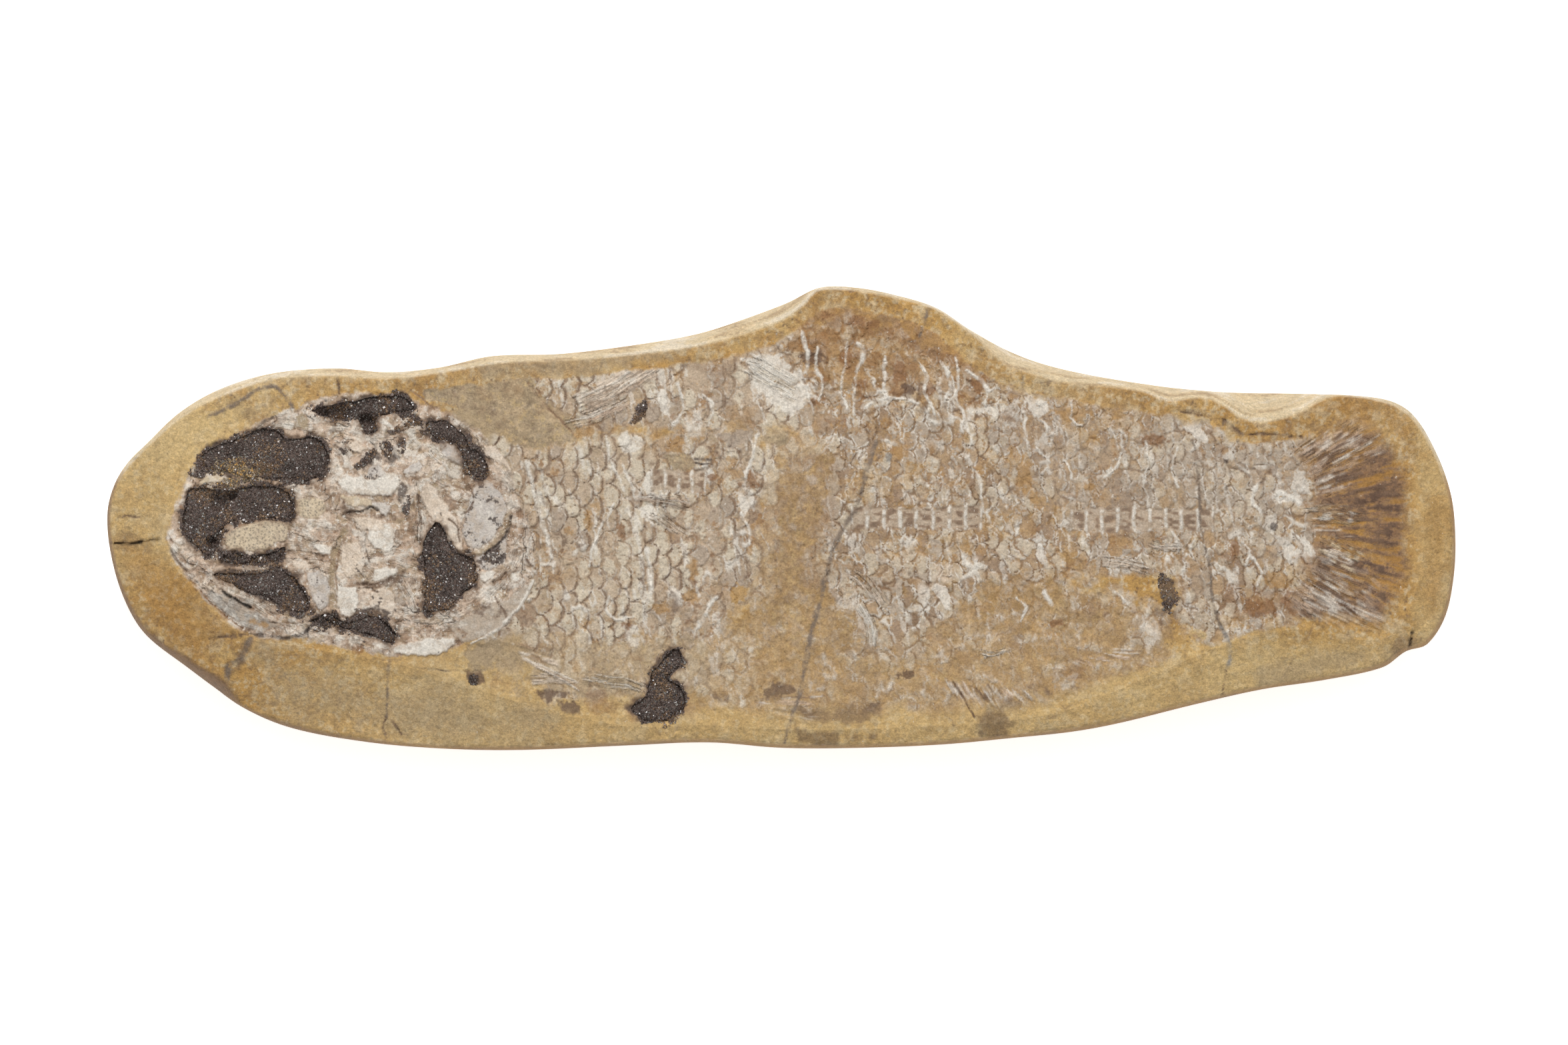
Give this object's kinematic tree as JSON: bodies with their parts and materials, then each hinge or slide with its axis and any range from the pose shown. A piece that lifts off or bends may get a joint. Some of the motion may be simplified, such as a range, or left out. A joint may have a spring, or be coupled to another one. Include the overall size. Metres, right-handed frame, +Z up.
{
  "type": "fossil fish slab",
  "caption": "Split limestone nodule lying on its rounded back, with a whole scaled fossil fish in relief on its upper face and dark crystals in the hollows of the skull.",
  "frame": {"origin": "middle of the footprint, on the plane of the flat resting place", "axes": "+X along the fish to its tail, +Y to the fish's back, +Z up out of the fossil face"},
  "size_m": [0.52, 0.1793, 0.0474],
  "materials": {
    "limestone": "matt, grainy ochre limestone, paler on the broken back edge",
    "fossil_bone": "cream to grey-brown fossil bone and scales, satin, with rusty orange stains",
    "calcite_crystals": "dark brown, finely sparkling crystal crust"
  },
  "bodies": {
    "root": {"slab": "limestone", "fish": "fossil_bone", "crystals_orbit": "calcite_crystals", "crystals_snout": "calcite_crystals", "crystals_upper_jaw": "calcite_crystals", "crystals_lower_jaw": "calcite_crystals", "crystals_throat": "calcite_crystals", "crystals_skull_roof": "calcite_crystals", "crystals_nape": "calcite_crystals", "crystals_gill_cover": "calcite_crystals", "crystals_belly": "calcite_crystals"}
  },
  "joints": []
}
